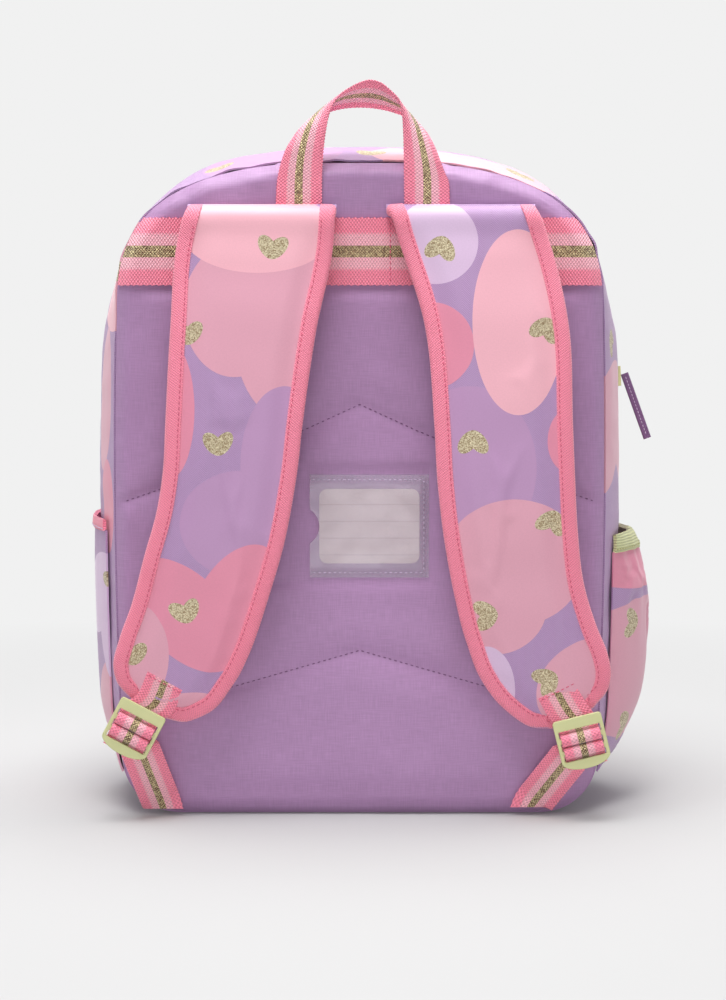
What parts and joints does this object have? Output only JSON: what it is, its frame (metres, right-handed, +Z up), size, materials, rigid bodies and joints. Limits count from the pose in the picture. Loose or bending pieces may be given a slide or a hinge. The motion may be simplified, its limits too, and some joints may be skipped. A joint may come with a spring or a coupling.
{
  "type": "school backpack",
  "caption": "Child's school backpack with padded straps, a zipped lid, a zipped front pocket, side pockets, a name window and a webbing grab handle.",
  "frame": {"origin": "centre of the flat underside of the bottom panel, at mid depth and mid width", "axes": "+Z up, -Y towards the wearer's back (straps), +Y towards the outer front pocket, +X to the side of the main zip's slider"},
  "size_m": [0.3665, 0.223, 0.462],
  "materials": {
    "back_cloth": "satin",
    "printed_cloth": "satin",
    "striped_webbing": "matt woven",
    "grosgrain_binding": "ribbed",
    "lining_cloth": "matt",
    "foam": "matt foam",
    "spacer_mesh": "open mesh",
    "zip_tape": "matt",
    "slider_metal": "satin",
    "lime_plastic": "fine grain",
    "lime_elastic": "ribbed",
    "clear_film": "clear gloss",
    "name_card": "matt card"
  },
  "bodies": {
    "bag": {"back_panel_cover": "back_cloth", "bottom_panel": "back_cloth", "side_panel_left": "printed_cloth", "side_panel_right": "printed_cloth", "rear_gusset": "printed_cloth", "front_panel_lower": "printed_cloth", "pocket_gusset": "printed_cloth", "pocket_rear_strip": "printed_cloth", "side_pocket_left": "printed_cloth", "side_pocket_right": "printed_cloth", "strap_anchor_left": "printed_cloth", "strap_anchor_right": "printed_cloth", "back_band": "striped_webbing", "handle_end_left": "striped_webbing", "handle_end_right": "striped_webbing", "adjuster_webbing_left": "striped_webbing", "adjuster_webbing_right": "striped_webbing", "side_pocket_edging_left": "grosgrain_binding", "back_panel_lining": "lining_cloth", "body_lining": "lining_cloth", "divider_sleeve": "lining_cloth", "back_panel_foam": "foam", "main_zip_tape_rear": "zip_tape", "pocket_zip_tape_rear": "zip_tape", "divider_elastic": "zip_tape", "side_pocket_edging_right": "lime_elastic", "name_window": "clear_film"},
    "lid": {"front_panel_upper": "printed_cloth", "front_gusset": "printed_cloth", "main_zip_tape_front": "zip_tape", "lid_lining": "lining_cloth"},
    "pocket_wall": {"pocket_front": "printed_cloth", "pocket_zip_tape_front": "zip_tape"},
    "handle": {"grab_handle": "striped_webbing"},
    "main_slider": {"main_slider": "slider_metal"},
    "main_puller": {"main_puller": "zip_tape"},
    "pocket_slider": {"pocket_slider": "slider_metal"},
    "pocket_puller": {"pocket_puller": "zip_tape"},
    "card": {"name_card": "name_card"},
    "strap_left": {"strap_cover_left": "printed_cloth", "strap_foam_left": "foam", "strap_mesh_left": "spacer_mesh", "strap_binding_left": "grosgrain_binding", "buckle_webbing_left": "striped_webbing"},
    "buckle_left": {"buckle_left": "lime_plastic"},
    "strap_right": {"strap_cover_right": "printed_cloth", "strap_foam_right": "foam", "strap_mesh_right": "spacer_mesh", "strap_binding_right": "grosgrain_binding", "buckle_webbing_right": "striped_webbing"},
    "buckle_right": {"buckle_right": "lime_plastic"}
  },
  "joints": [
    {"name": "lid_opening", "type": "hinge", "parent": "bag", "child": "lid", "pos_m": [0, 0.0758, 0.262], "axis": [-1, 0, 0], "range_deg": [0, 80]},
    {"name": "pocket_opening", "type": "hinge", "parent": "bag", "child": "pocket_wall", "pos_m": [0, 0.1082, 0.014], "axis": [-1, 0, 0], "range_deg": [0, 8]},
    {"name": "handle_fold", "type": "hinge", "parent": "bag", "child": "handle", "pos_m": [0, -0.0766, 0.3985], "axis": [-1, 0, 0], "range_deg": [-90, 4]},
    {"name": "main_slider_slide", "type": "slide", "parent": "bag", "child": "main_slider", "axis": [-0.0453, 0, 0.999], "range_m": [0, 0.012]},
    {"name": "main_puller_swing", "type": "hinge", "parent": "main_slider", "child": "main_puller", "pos_m": [0.17502, 0.012, 0.27587], "axis": [0, -1, 0], "range_deg": [-12, 110]},
    {"name": "pocket_slider_slide", "type": "slide", "parent": "bag", "child": "pocket_slider", "axis": [-1, 0, 0], "range_m": [0, 0.165]},
    {"name": "pocket_puller_swing", "type": "hinge", "parent": "pocket_slider", "child": "pocket_puller", "pos_m": [0.085, 0.097, 0.2431], "axis": [0, -1, 0], "range_deg": [0, 150]},
    {"name": "card_slide", "type": "slide", "parent": "bag", "child": "card", "axis": [-1, 0, 0], "range_m": [0, 0.07]},
    {"name": "strap_left_swing", "type": "hinge", "parent": "bag", "child": "strap_left", "pos_m": [0, -0.0822, 0.3812], "axis": [-1, 0, 0], "range_deg": [0, 20], "deforming": ["adjuster_webbing_left"]},
    {"name": "buckle_left_tilt", "type": "hinge", "parent": "strap_left", "child": "buckle_left", "pos_m": [-0.14009, -0.10245, 0.06155], "axis": [-0.8829, 0, 0.4695], "range_deg": [0, 12]},
    {"name": "strap_right_swing", "type": "hinge", "parent": "bag", "child": "strap_right", "pos_m": [0, -0.0822, 0.3812], "axis": [-1, 0, 0], "range_deg": [0, 20], "deforming": ["adjuster_webbing_right"]},
    {"name": "buckle_right_tilt", "type": "hinge", "parent": "strap_right", "child": "buckle_right", "pos_m": [0.13777, -0.10245, 0.05451], "axis": [-0.9703, 0, -0.2419], "range_deg": [0, 12]}
  ]
}
